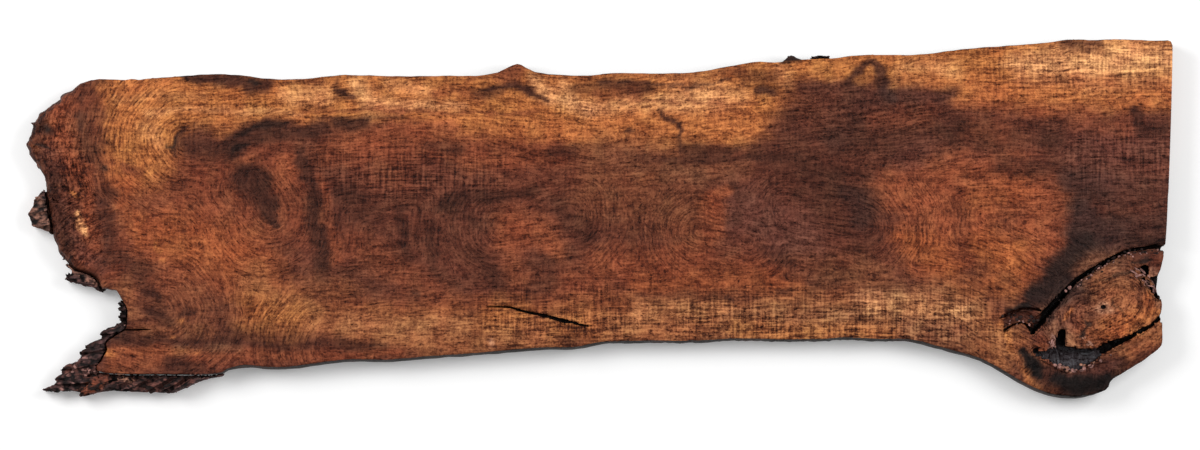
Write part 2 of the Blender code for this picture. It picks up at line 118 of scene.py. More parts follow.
# Each stain: its colour, how strongly and how softly it lies on the wood, and its middle line
# as (along, down, half width). Later stains lie over earlier ones.
SAPWOOD = (
    ("gold", 1, 0.2, ((142, 120, 43), (142, 150, 42))),
    ("gold", 1, 0.3, (
        (104, 100, 16), (160, 98, 24), (215, 100, 27), (300, 98, 24), (380, 97, 24), (460, 100, 27),
        (560, 104, 33), (660, 106, 37), (740, 104, 36), (768, 86, 26),
    )),
    ("gold", 1, 0.25, (
        (762, 70, 18), (800, 64, 15), (850, 64, 16), (900, 66, 17), (950, 62, 23), (1000, 64, 24),
        (1060, 64, 26), (1175, 60, 28),
    )),
    ("honey", 0.9, 0.5, (
        (430, 130, 12), (520, 134, 14), (600, 132, 16), (700, 128, 16), (745, 122, 14),
    )),
    ("honey", 0.9, 0.5, (
        (965, 94, 12), (1020, 94, 14), (1080, 98, 14), (1130, 98, 12), (1170, 96, 12),
    )),
    ("honey", 0.7, 0.6, ((100, 90, 8), (130, 84, 6), (180, 82, 4))),
    ("amber", 0.8, 0.5, ((104, 160, 10), (112, 176, 13), (124, 187, 12))),
    ("russet", 0.7, 0.5, ((124, 165, 4), (134, 172, 5))),
    ("umber", 0.5, 0.6, ((104, 184, 6), (112, 192, 6))),
    ("pale", 0.25, 0.7, ((116, 100, 4), (160, 94, 3), (205, 97, 3))),
    ("pale", 0.5, 0.7, ((150, 112, 4), (180, 108, 3), (215, 110, 3), (300, 114, 3))),
    ("pale", 0.35, 0.8, ((150, 130, 8), (160, 145, 5))),
    ("pale", 0.6, 0.8, ((290, 96, 7), (325, 96, 8))),
    ("pale", 0.8, 0.8, ((360, 88, 7), (372, 104, 10), (400, 106, 5), (460, 106, 4))),
    ("pale", 0.5, 0.8, ((390, 84, 5), (430, 90, 6))),
    ("pale", 0.8, 0.6, ((533, 78, 4), (540, 90, 7), (556, 98, 7), (590, 108, 7))),
    ("pale", 0.7, 0.8, ((560, 82, 4), (575, 100, 6))),
    ("pale", 0.7, 0.8, ((590, 108, 5), (680, 99, 10), (740, 96, 9))),
    ("pale", 0.5, 0.8, ((790, 78, 8), (780, 66, 5))),
    ("pale", 0.5, 0.8, ((905, 68, 9), (950, 70, 9))),
    ("pale", 0.9, 0.7, ((1020, 66, 10), (1090, 62, 18), (1130, 60, 18), (1165, 60, 16))),
    ("honey", 0.6, 0.4, ((185, 79, 4), (236, 80, 4))),
    ("umber", 0.95, 0.4, ((188, 76, 6), (234, 78, 6))),
    ("umber", 0.9, 0.5, ((244, 80, 6), (254, 84, 9), (270, 84, 6))),
    ("black", 0.6, 0.4, ((248, 78, 2), (256, 82, 2.5))),
    ("black", 0.6, 0.4, ((342, 93, 1.8), (350, 96, 1.8))),
    ("black", 0.6, 0.4, ((764, 90, 2), (768, 91, 2))),
    ("black", 0.6, 0.4, ((516, 84, 1.8), (524, 87, 2))),
    ("russet", 0.5, 0.6, ((290, 80, 3), (320, 84, 3))),
    ("umber", 0.85, 0.4, ((338, 92, 3), (346, 95, 4), (354, 98, 3))),
    ("umber", 0.4, 0.6, ((336, 84, 4), (338, 96, 3))),
    ("umber", 0.9, 0.5, ((336, 123, 4), (352, 124, 6), (368, 123, 5))),
    ("umber", 0.9, 0.5, ((302, 130, 5), (314, 128, 7), (324, 126, 6))),
    ("umber", 0.6, 0.5, ((318, 117, 1.6), (400, 118, 1.6))),
    ("russet", 0.5, 0.5, ((300, 112, 1.6), (360, 110, 1.8), (430, 112, 1.6))),
    ("rust", 0.6, 0.6, ((375, 108, 4), (400, 110, 3))),
    ("rust", 0.5, 0.7, ((436, 92, 5), (452, 88, 5), (476, 96, 5))),
    ("umber", 0.55, 0.6, ((478, 94, 5), (496, 92, 5))),
    ("umber", 0.95, 0.4, (
        (486, 90, 2.5), (500, 85, 3), (515, 84, 4.5), (528, 90, 4.5), (540, 96, 2.5),
        (552, 100, 1.5),
    )),
    ("russet", 0.7, 0.5, ((505, 76, 6), (517, 72, 6))),
    ("russet", 0.5, 0.5, ((430, 114, 1.5), (500, 112, 2), (540, 112, 1.5))),
    ("umber", 0.45, 0.6, ((575, 86, 5), (600, 88, 6))),
    ("umber", 0.7, 0.5, ((608, 84, 5), (630, 86, 7), (648, 86, 5))),
    ("russet", 0.5, 0.7, ((600, 96, 4), (640, 94, 6))),
    ("umber", 0.75, 0.3, ((600, 83, 1.3), (650, 81, 1.4), (690, 86, 1.5), (730, 79, 1.3))),
    ("umber", 0.4, 0.6, ((735, 72, 3), (752, 76, 8), (775, 76, 6))),
    ("umber", 0.9, 0.5, ((758, 92, 3.5), (766, 90, 4.5), (776, 94, 3))),
    ("umber", 0.9, 0.5, ((664, 112, 2.5), (670, 118, 3.5), (678, 122, 2.5), (682, 150, 1.5))),
    ("umber", 0.85, 0.5, ((627, 131, 2.2), (631, 132, 2.2))),
    ("russet", 0.6, 0.5, ((640, 100, 1.5), (760, 102, 1.5))),
    ("pale", 0.6, 0.5, ((648, 142, 1.2), (651, 158, 1.2))),
    ("gold", 0.7, 0.5, ((690, 146, 1.5), (728, 142, 1.5))),
    ("umber", 0.85, 0.35, (
        (850, 82, 5), (858, 68, 4), (868, 60, 4), (876, 70, 5), (884, 84, 5),
    )),
    ("gold", 0.9, 0.4, ((857, 80, 3), (870, 82, 3))),
    ("honey", 0.8, 0.6, ((905, 78, 5), (950, 82, 5))),
    ("umber", 0.6, 0.6, ((1065, 44, 4), (1100, 44, 4))),
    ("soot", 1, 0.3, ((783, 56, 5), (799, 54, 5))),
    ("rust", 0.4, 0.7, ((1020, 80, 5), (1170, 82, 4))),
    ("rust", 0.5, 0.7, ((960, 104, 5), (1100, 112, 5))),
)

HEARTWOOD = (
    # the left part
    ("russet", 0.8, 0.6, ((200, 190, 36), (270, 170, 30), (300, 220, 20))),
    ("rust", 0.9, 0.6, ((288, 162, 9), (282, 176, 8))),
    ("rust", 0.8, 0.6, ((236, 164, 7), (250, 160, 5))),
    ("rust", 0.9, 0.6, ((150, 226, 30), (200, 236, 36), (250, 244, 26))),
    ("amber", 0.8, 0.7, ((170, 238, 22), (230, 262, 22), (262, 290, 26), (300, 306, 14))),
    ("tan", 0.7, 0.7, ((250, 280, 14), (284, 304, 18), (310, 320, 14))),
    ("earth", 0.55, 0.7, ((150, 290, 18), (190, 312, 18), (235, 324, 12))),
    ("rust", 0.5, 0.7, ((130, 300, 6), (140, 270, 8), (190, 285, 20))),
    ("amber", 0.6, 0.6, ((120, 205, 6), (135, 220, 8), (140, 238, 6))),
    ("umber", 0.6, 0.6, ((100, 270, 14), (140, 276, 12))),
    ("umber", 0.7, 0.5, ((190, 142, 8), (205, 152, 12), (225, 154, 12), (236, 148, 8))),
    ("umber", 0.8, 0.4, ((184, 128, 3), (179, 140, 3), (177, 154, 3))),
    ("umber", 0.85, 0.35, (
        (228, 146, 9), (246, 136, 9), (266, 130, 9), (286, 130, 8), (310, 132, 4), (324, 133, 5),
    )),
    ("gold", 0.5, 0.5, ((214, 134, 4), (228, 132, 4))),
    ("black", 0.5, 0.5, ((236, 138, 2), (256, 128, 2.5), (280, 124, 2))),
    ("black", 0.5, 0.5, ((230, 150, 2), (240, 146, 2.5), (248, 144, 2))),
    ("black", 0.6, 0.4, ((179, 138, 1.8), (176, 146, 1.8))),
    ("black", 0.6, 0.4, ((167, 147, 1.8), (171, 148, 1.8))),
    ("russet", 0.6, 0.6, ((190, 168, 10), (240, 168, 6))),
    ("umber", 0.95, 0.3, (
        (246, 178, 14), (258, 184, 14), (266, 200, 10), (270, 214, 8), (273, 226, 5),
    )),
    ("umber", 0.85, 0.45, (
        (300, 152, 4), (306, 176, 7), (314, 200, 9), (318, 230, 9), (323, 262, 7), (330, 296, 6),
    )),
    ("rust", 0.6, 0.6, ((318, 176, 3), (330, 220, 4), (336, 262, 4))),
    # the middle
    ("russet", 0.9, 0.5, ((330, 150, 14), (400, 144, 12), (480, 150, 14), (560, 156, 10))),
    ("rust", 0.8, 0.7, ((350, 140, 8), (400, 132, 8), (450, 128, 6))),
    ("rust", 0.5, 0.7, ((470, 165, 8), (520, 158, 6))),
    ("umber", 0.5, 0.6, ((426, 146, 4), (462, 148, 5))),
    ("umber", 0.75, 0.5, ((552, 152, 5), (574, 150, 6))),
    ("umber", 0.8, 0.6, ((338, 196, 6), (350, 194, 8), (366, 196, 6))),
    ("umber", 0.45, 0.7, ((340, 215, 10), (372, 218, 12))),
    ("umber", 0.65, 0.6, ((404, 210, 5), (408, 262, 5))),
    ("umber", 0.55, 0.6, ((432, 222, 4), (436, 276, 4))),
    ("umber", 0.9, 0.5, ((448, 204, 7), (462, 198, 8), (500, 196, 5), (540, 190, 3))),
    ("umber", 0.6, 0.6, ((462, 210, 7), (470, 222, 5))),
    ("umber", 0.55, 0.6, ((560, 206, 10), (580, 224, 10), (590, 236, 6))),
    ("umber", 0.5, 0.6, ((482, 258, 7), (500, 290, 6))),
    ("umber", 0.5, 0.6, ((545, 255, 7), (556, 298, 6))),
    ("rust", 0.85, 0.7, ((512, 226, 16), (538, 232, 14), (560, 252, 8))),
    ("rust", 0.6, 0.7, ((508, 250, 12), (520, 280, 10))),
    ("rust", 0.6, 0.7, ((576, 282, 12), (600, 284, 12))),
    ("rust", 0.5, 0.7, ((350, 245, 12), (380, 262, 12), (440, 296, 10))),
    ("earth", 0.9, 0.7, ((600, 160, 20), (670, 170, 22), (740, 172, 10))),
    ("dun", 0.4, 0.8, ((620, 166, 10), (700, 176, 8))),
    ("umber", 0.6, 0.5, ((684, 148, 4), (700, 152, 7), (722, 152, 6), (742, 146, 3))),
    ("umber", 0.5, 0.5, ((640, 158, 2.5), (700, 160, 3), (800, 158, 3))),
    ("umber", 0.4, 0.6, ((600, 190, 6), (660, 196, 5))),
    ("amber", 0.4, 0.6, ((648, 178, 5), (656, 176, 4))),
    ("plum", 0.9, 0.6, ((740, 216, 30), (790, 236, 28), (812, 262, 14))),
    ("rust", 0.9, 0.5, ((704, 204, 8), (720, 196, 8), (728, 192, 6))),
    ("rust", 0.9, 0.5, ((714, 210, 12), (710, 234, 12), (700, 246, 8))),
    ("umber", 0.4, 0.6, ((734, 184, 4), (742, 200, 4), (738, 220, 4))),
    ("earth", 0.9, 0.7, ((600, 200, 20), (660, 210, 24), (690, 236, 16))),
    ("russet", 0.9, 0.6, ((610, 262, 16), (700, 264, 14), (770, 274, 12))),
    ("rust", 0.5, 0.7, ((600, 264, 10), (690, 262, 10))),
    ("amber", 0.7, 0.7, ((640, 286, 10), (700, 284, 12), (760, 284, 12), (796, 288, 8))),
    ("umber", 0.6, 0.6, ((815, 268, 7), (835, 274, 9), (852, 276, 6))),
    ("umber", 0.5, 0.6, ((760, 250, 5), (790, 262, 5))),
    # the dark heart and the reds to its right
    ("umber", 0.45, 0.6, ((795, 100, 14), (800, 120, 16), (830, 140, 22))),
    ("ink", 0.45, 0.6, ((812, 84, 8), (832, 98, 14), (842, 118, 18), (836, 138, 12))),
    ("ink", 0.4, 0.7, ((860, 98, 14), (905, 96, 12), (950, 94, 6))),
    ("umber", 0.45, 0.7, ((860, 134, 18), (920, 132, 18), (950, 128, 12))),
    ("russet", 0.5, 0.7, ((870, 118, 8), (930, 116, 9))),
    ("ink", 0.75, 0.5, ((886, 90, 6), (892, 100, 4))),
    ("umber", 0.5, 0.7, ((816, 190, 16), (842, 200, 22), (862, 206, 22), (858, 226, 16))),
    ("ink", 0.6, 0.6, ((846, 192, 6), (864, 206, 12), (862, 222, 8))),
    ("umber", 0.5, 0.6, ((760, 150, 10), (800, 170, 14), (830, 176, 14))),
    ("plum", 0.7, 0.6, ((900, 158, 10), (950, 150, 10), (1000, 158, 10))),
    ("rust", 1, 0.6, ((898, 190, 18), (930, 200, 30), (950, 220, 36), (940, 250, 26))),
    ("rust", 1, 0.6, ((960, 180, 26), (1000, 190, 34), (1036, 200, 26), (1040, 240, 20))),
    ("amber", 0.9, 0.7, ((905, 240, 12), (935, 254, 16), (945, 266, 12))),
    ("amber", 1, 0.7, ((985, 250, 18), (1010, 260, 22), (1022, 268, 14))),
    ("russet", 0.6, 0.7, ((955, 190, 7), (960, 230, 7), (970, 262, 6))),
    ("amber", 0.5, 0.7, ((980, 200, 12), (1020, 190, 10))),
    ("honey", 0.5, 0.8, ((1000, 262, 8), (1014, 250, 8))),
    ("umber", 0.7, 0.6, ((960, 134, 10), (985, 136, 10), (1010, 134, 8))),
    ("umber", 0.7, 0.6, ((1044, 138, 8), (1056, 142, 8))),
    ("umber", 0.55, 0.6, ((1000, 166, 7), (1056, 168, 8))),
    ("plum", 0.8, 0.6, ((1090, 150, 22), (1150, 156, 24))),
    ("rust", 0.5, 0.7, ((1080, 122, 8), (1120, 124, 10))),
    ("umber", 0.85, 0.5, ((1140, 112, 5), (1142, 130, 6), (1160, 130, 6))),
    ("ink", 0.7, 0.5, ((1070, 180, 10), (1110, 190, 14), (1165, 194, 14))),
    ("ink", 0.95, 0.35, (
        (1082, 208, 12), (1086, 232, 18), (1110, 236, 20), (1140, 232, 20), (1162, 226, 18),
    )),
    ("soot", 0.9, 0.4, ((1080, 246, 12), (1066, 264, 12), (1056, 282, 12), (1040, 296, 12))),
    ("soot", 0.8, 0.5, ((1134, 240, 6), (1164, 240, 6))),
)

LOWER_SIDE = (
    ("tan", 1, 0.35, (
        (282, 306, 12), (330, 322, 18), (400, 330, 22), (470, 332, 24), (560, 330, 26),
        (640, 324, 24), (720, 322, 24), (800, 320, 26), (860, 316, 26), (940, 314, 26),
        (975, 330, 22), (1004, 352, 18),
    )),
    ("amber", 0.35, 0.8, ((330, 300, 8), (400, 306, 8), (500, 306, 8), (620, 300, 8))),
    ("pale", 0.2, 0.8, ((350, 322, 9), (400, 328, 10), (460, 326, 9))),
    ("pale", 0.3, 0.8, ((640, 312, 7), (700, 308, 6), (760, 308, 6))),
    ("dun", 0.6, 0.8, ((740, 324, 12), (850, 322, 14), (960, 330, 14))),
    ("dun", 0.7, 0.7, ((860, 296, 8), (920, 294, 8), (968, 306, 8))),
    ("pale", 0.65, 0.8, ((865, 304, 8), (930, 304, 9), (962, 312, 8))),
    ("earth", 0.8, 0.5, ((550, 330, 7), (572, 334, 8), (592, 340, 6))),
    ("umber", 0.85, 0.5, ((562, 338, 4), (576, 341, 5))),
    ("bone", 0.8, 0.4, ((493, 340, 1.6), (494, 347, 1.6))),
    ("umber", 0.8, 0.5, ((414, 293, 1.8), (418, 293, 1.8))),
    ("umber", 0.6, 0.6, (
        (120, 340, 7), (200, 342, 7), (260, 342, 7), (330, 345, 6), (384, 350, 4),
    )),
    ("rust", 0.7, 0.6, ((195, 360, 6), (260, 354, 6), (330, 356, 5), (400, 354, 3))),
    ("dun", 0.5, 0.6, ((165, 350, 4), (240, 350, 4))),
    ("umber", 0.4, 0.6, ((108, 338, 5), (150, 336, 5), (200, 338, 5))),
    ("umber", 0.6, 0.6, ((104, 370, 4), (140, 367, 5), (200, 368, 4))),
    ("honey", 0.5, 0.6, ((120, 352, 3), (160, 353, 3), (200, 352, 3))),
    ("tan", 0.6, 0.7, ((124, 284, 7), (130, 310, 9))),
    ("gold", 0.9, 0.4, ((106, 353, 4), (113, 355, 4))),
    ("rust", 0.6, 0.5, ((120, 352, 5), (170, 350, 5))),
    ("rust", 0.8, 0.5, ((112, 366, 8), (155, 362, 9))),
    ("umber", 0.75, 0.5, ((100, 342, 6), (128, 338, 5))),
    ("umber", 0.6, 0.5, ((690, 306, 2), (690, 309, 2))),
    ("umber", 0.8, 0.5, ((725, 297, 2), (731, 298, 2))),
    ("umber", 0.6, 0.5, ((781, 290, 2), (789, 290, 2))),
    ("umber", 0.35, 0.6, ((640, 296, 2.5), (760, 298, 2.5))),
    ("umber", 0.4, 0.6, ((470, 312, 3), (520, 310, 2.5), (560, 322, 3))),
    ("umber", 0.4, 0.5, ((430, 352, 3), (560, 350, 3))),
    ("umber", 0.25, 0.6, ((700, 336, 2), (900, 336, 2))),
    ("umber", 0.95, 0.5, ((147, 293, 4), (154, 294, 5), (160, 298, 3))),
    ("umber", 0.9, 0.5, ((150, 312, 4), (160, 316, 5), (178, 324, 2.5))),
    ("umber", 0.7, 0.5, ((184, 311, 3), (190, 312, 3))),
    ("umber", 0.5, 0.6, ((186, 326, 3), (260, 330, 5))),
    ("umber", 0.8, 0.4, ((120, 332, 1.5), (150, 328, 1.2))),
    ("gold", 0.8, 0.5, ((154, 242, 1.8), (162, 250, 1.6))),
    ("gold", 0.7, 0.5, ((160, 262, 1.6), (163, 262, 1.6))),
    ("gold", 0.8, 0.5, ((183, 320, 1.6), (186, 320, 1.6))),
    ("gold", 0.7, 0.5, ((174, 337, 1.4), (177, 337, 1.4))),
)

# Broad, soft touches here and there over all of these
TOUCHES = (
    ("gold", 0.75, 0.8, ((256, 314, 14), (290, 318, 16))),
    ("tan", 0.6, 0.8, ((316, 290, 12), (344, 288, 10))),
    ("tan", 0.5, 0.8, ((140, 328, 6), (210, 330, 7))),
    ("gold", 0.6, 0.8, ((495, 314, 11), (520, 312, 11))),
    ("gold", 0.6, 0.8, ((556, 326, 10), (590, 326, 10))),
    ("tan", 0.5, 0.8, ((430, 352, 7), (580, 346, 6))),
    ("gold", 0.6, 0.8, ((740, 330, 9), (800, 332, 10), (890, 334, 9))),
    ("rust", 0.35, 0.8, ((745, 256, 16), (756, 284, 14))),
    ("tan", 0.4, 0.8, ((920, 292, 12), (942, 296, 12))),
    ("rust", 0.35, 0.8, ((380, 168, 14), (400, 172, 14))),
    ("tan", 0.45, 0.8, ((800, 268, 12), (880, 274, 14))),
    ("gold", 0.45, 0.8, ((966, 288, 10), (1006, 290, 12))),
    ("rust", 0.35, 0.8, ((690, 225, 20), (700, 215, 16))),
    ("rust", 0.4, 0.8, ((980, 130, 12), (1004, 130, 12))),
    ("honey", 0.4, 0.8, ((735, 110, 14), (752, 112, 12))),
    ("rust", 0.3, 0.8, ((800, 100, 16), (830, 104, 18))),
    ("pale", 0.4, 0.8, ((675, 90, 12), (710, 90, 12))),
    ("russet", 0.3, 0.8, ((1150, 196, 26), (1150, 236, 22))),
    ("rust", 0.25, 0.8, ((560, 280, 18), (700, 276, 18))),
    ("rust", 0.2, 0.8, ((500, 170, 18), (640, 180, 22))),
)

BURL_END = (
    ("russet", 1, 0.35, ((40, 130, 34), (62, 110, 26), (84, 96, 12))),
    ("russet", 1, 0.35, ((46, 160, 44), (60, 200, 40), (74, 240, 32), (92, 270, 26))),
    ("umber", 0.4, 0.7, ((40, 110, 10), (34, 150, 8), (70, 180, 7), (76, 250, 10))),
    ("rust", 0.6, 0.7, ((60, 110, 12), (66, 150, 14), (84, 176, 10))),
    ("plum", 0.6, 0.7, ((44, 160, 12), (66, 230, 10), (96, 268, 10))),
    ("umber", 0.7, 0.5, ((26, 112, 3), (22, 140, 3), (34, 166, 3), (44, 184, 3))),
    ("earth", 0.6, 0.7, ((84, 120, 12), (92, 160, 8), (90, 200, 8))),
    ("umber", 0.8, 0.6, ((54, 172, 6), (56, 210, 7), (64, 256, 8))),
    ("umber", 0.6, 0.6, ((42, 110, 8), (38, 124, 6))),
    ("umber", 0.7, 0.6, ((78, 98, 3), (80, 130, 3))),
    ("umber", 0.9, 0.5, ((42, 127, 3), (48, 130, 4))),
    ("black", 0.8, 0.5, ((44, 128, 1.6), (46, 129, 1.6))),
    ("black", 0.8, 0.5, ((38, 144, 2), (44, 147, 2))),
    ("tan", 0.6, 0.6, ((31, 140, 3), (36, 156, 3))),
    ("rust", 0.6, 0.6, ((50, 122, 2), (58, 140, 2.5))),
    ("rust", 0.5, 0.6, ((70, 104, 6), (96, 104, 6), (92, 140, 5))),
    ("rust", 0.7, 0.6, ((87, 166, 4), (90, 200, 4), (88, 236, 4))),
    ("gold", 0.9, 0.5, ((76, 192, 2.5), (78, 195, 2))),
    ("pale", 0.95, 0.5, ((78, 212, 2), (83, 222, 3.5), (86, 230, 3))),
    ("umber", 0.6, 0.6, ((104, 202, 5), (106, 226, 6), (108, 246, 5))),
    ("soot", 0.7, 0.5, ((100, 166, 3), (103, 168, 3))),
    ("umber", 0.6, 0.6, ((120, 258, 8), (104, 262, 8))),
    ("earth", 0.6, 0.6, ((84, 282, 8), (100, 288, 8))),
    # painted shade: the notch where the scales lie below the face is painted soot dark
    ("soot", 0.8, 0.5, ((118, 300, 5), (120, 322, 5))),
    ("tan", 0.5, 0.5, ((124, 206, 1.4), (138, 236, 1.4))),
    ("tan", 0.4, 0.5, ((114, 208, 1.3), (128, 240, 1.3))),
    ("umber", 0.35, 0.8, ((88, 90, 14), (92, 150, 14))),
    ("umber", 0.65, 0.8, ((30, 110, 10), (28, 130, 10))),
    ("umber", 0.65, 0.8, ((34, 166, 10), (40, 178, 10))),
)

KNOT = (
    ("dun", 1, 0.2, ((1080, 320, 34), (1110, 300, 42), (1136, 300, 30))),
    ("russet", 0.4, 0.8, ((1070, 310, 10), (1096, 290, 12), (1130, 280, 10))),
    ("plum", 0.4, 0.6, ((1062, 322, 12), (1090, 300, 16), (1120, 276, 10))),
    ("umber", 0.5, 0.5, ((1060, 330, 4), (1072, 306, 4), (1096, 284, 4))),
    ("rust", 0.7, 0.6, ((1088, 334, 14), (1105, 320, 18), (1120, 300, 16))),
    ("amber", 0.9, 0.5, ((1108, 336, 7), (1134, 326, 10), (1150, 312, 9), (1148, 296, 6))),
    ("gold", 0.6, 0.6, ((1126, 332, 4), (1146, 320, 5), (1156, 312, 4))),
    ("umber", 0.5, 0.6, ((1092, 316, 6), (1098, 330, 6), (1114, 322, 5))),
    ("umber", 0.5, 0.5, ((1080, 300, 2), (1110, 284, 2), (1134, 288, 2), (1140, 306, 2))),
    ("bone", 0.8, 0.5, ((1101, 306, 5), (1106, 306, 5))),
    ("umber", 0.8, 0.4, ((1103, 307, 2.2), (1106, 307, 2.2))),
    ("honey", 0.7, 0.5, ((1068, 316, 1.6), (1074, 308, 1.6))),
    ("bone", 0.5, 0.6, ((1150, 268, 3), (1156, 282, 3))),
    ("ink", 0.9, 0.5, ((1048, 318, 4), (1066, 296, 6), (1080, 282, 6), (1098, 268, 3))),
    ("tan", 0.9, 0.5, ((1000, 330, 6), (1014, 342, 11), (1026, 360, 12), (1040, 376, 10))),
    ("gold", 0.7, 0.5, ((998, 324, 2.5), (1004, 336, 3), (1012, 350, 3))),
    ("gold", 0.6, 0.6, ((1022, 372, 3), (1042, 386, 4), (1056, 390, 3))),
    ("umber", 0.85, 0.5, ((1028, 360, 4), (1036, 372, 5), (1050, 376, 4))),
    ("umber", 0.5, 0.5, ((1008, 360, 1.4), (1026, 382, 1.4), (1050, 396, 1.4))),
    ("earth", 0.9, 0.4, ((1004, 326, 4), (1018, 322, 5), (1026, 330, 5))),
    ("tan", 0.8, 0.5, ((1112, 366, 6), (1134, 354, 7), (1154, 340, 6))),
    ("umber", 0.6, 0.5, ((1100, 362, 3), (1130, 344, 2.5), (1154, 330, 2.5))),
    ("umber", 0.5, 0.5, ((1130, 366, 1.6), (1156, 346, 1.6))),
    ("umber", 1, 0.3, ((1046, 376, 10), (1060, 384, 18), (1082, 388, 22), (1112, 372, 14))),
    ("black", 0.9, 0.5, ((1060, 380, 6), (1080, 386, 11), (1104, 378, 9), (1114, 368, 5))),
    ("black", 0.9, 0.3, ((1025, 352, 4), (1032, 364, 8), (1040, 374, 4))),
    ("earth", 0.5, 0.6, ((1112, 372, 3), (1118, 366, 4))),
    ("black", 0.8, 0.4, ((1096, 283, 1.4), (1112, 277, 1.4), (1132, 272, 1.4))),
    ("black", 0.8, 0.4, ((1080, 338, 1.4), (1087, 324, 1.4))),
    ("black", 0.7, 0.4, ((1112, 298, 1.3), (1122, 314, 1.3), (1117, 330, 1.3))),
    ("black", 0.7, 0.4, ((1130, 262, 1.3), (1150, 258, 1.3))),
    ("plum", 0.7, 0.6, ((1070, 374, 3), (1098, 370, 4), (1116, 362, 3))),
    ("black", 0.9, 0.5, ((1004, 312, 2.5), (1014, 308, 2.5), (1030, 307, 2.5))),
    ("soot", 0.9, 0.5, ((1034, 296, 6), (1048, 296, 7), (1062, 284, 6))),
    ("umber", 0.9, 0.5, ((1006, 316, 4), (1020, 314, 5), (1030, 318, 4))),
    ("rose", 0.6, 0.5, ((1024, 316, 1.6), (1028, 320, 1.6))),
    ("rose", 0.7, 0.5, ((1050, 336, 2), (1052, 348, 2))),
    ("russet", 0.8, 0.5, ((1040, 340, 4), (1044, 352, 4))),
    ("tan", 0.65, 0.8, ((1098, 286, 12), (1122, 290, 13))),
    ("amber", 0.65, 0.8, ((1100, 334, 9), (1124, 326, 12))),
    ("tan", 0.8, 0.7, ((1148, 332, 10), (1160, 326, 10))),
    ("tan", 0.4, 0.8, ((1036, 388, 7), (1054, 393, 5))),
    ("honey", 0.4, 0.7, ((1100, 324, 4), (1122, 318, 5), (1138, 304, 4))),
    ("tan", 0.4, 0.8, ((1110, 352, 6), (1140, 344, 7))),
)

STAINS = SAPWOOD + HEARTWOOD + LOWER_SIDE + TOUCHES + BURL_END + KNOT

BARK_STAINS = (
    ("soot", 0.9, 0.6, ((84, 344, 9), (98, 326, 8), (112, 316, 8))),
    ("rust", 0.9, 0.5, ((80, 394, 5), (96, 384, 8), (106, 378, 5))),
    ("rose", 0.8, 0.5, ((116, 377, 3), (134, 384, 4))),
    ("bone", 0.8, 0.5, ((32, 200, 9), (42, 224, 12))),
    ("bone", 0.7, 0.5, ((60, 262, 4), (96, 282, 4))),
    ("plum", 0.6, 0.6, ((60, 366, 6), (92, 372, 8), (150, 386, 6), (190, 380, 4))),
)

# Lines that the growth rings lie round
RING_LINES = (
    ((184, 142), (300, 134), (420, 122), (600, 140), (760, 120), (960, 96), (1175, 90)),
    ((500, 225), (570, 215)),
    ((120, 300), (165, 310)),
    ((250, 185), (268, 215)),
    ((790, 212), (862, 226)),
    ((700, 232), (748, 240)),
    ((330, 345), (470, 338), (640, 330), (900, 326), (960, 340), (1010, 362)),
)
KNOT_RING_LINE = ((1088, 314), (1120, 300))
POCKET = ((1000, 316, 9), (1032, 316, 9))
PIT_FLOOR = ((1040, 354, 10), (1070, 360, 14), (1094, 356, 8))

# How clearly the rings show: strength, then the middle line as (along, down, half width)
RING_STRENGTHS = (
    (1, ((120, 130, 50), (180, 110, 40), (260, 100, 26))),
    (0.7, ((470, 215, 50), (600, 220, 60))),
    (0.6, ((200, 290, 60), (300, 310, 40))),
    (0.35, ((900, 220, 60), (1000, 230, 50))),
    (0.4, ((1088, 314, 60), (1120, 300, 60))),
)

# Where the wood falls away: how deep in millimetres, then the middle line as above
HOLLOWS = (
    (3, (
        (1168, 249, 5), (1130, 254, 6), (1102, 267, 6), (1076, 286, 6), (1056, 306, 7),
        (1036, 328, 6),
    )),
    (4.5, ((1036, 348, 6), (1064, 368, 9), (1090, 364, 9), (1124, 350, 5), (1150, 338, 4))),
    (2.5, ((1004, 316, 5), (1024, 316, 7), (1036, 322, 5))),
    (3.5, ((1130, 270, 5), (1146, 282, 6), (1158, 298, 5))),
    (2.5, ((1150, 262, 10), (1160, 280, 6))),
    (3, ((1050, 392, 5), (1080, 396, 6), (1108, 384, 6), (1114, 374, 5))),
    (3, ((45, 127, 7), (46, 128, 7))),
    (2, ((38, 144, 3), (45, 147, 3))),
    (1.2, ((58, 172, 5), (58, 210, 5), (64, 250, 6))),
    (0.8, ((346, 94, 8), (347, 95, 8))),
    (0.8, ((766, 91, 7), (767, 92, 7))),
    (0.7, ((667, 114, 4), (672, 119, 4))),
    (0.6, ((169, 147, 3), (170, 148, 3))),
)

# Small broken bits are let go from one height and kept where they rest above the other
DROP_FROM = 0.06
LOWEST_REST = 0.006

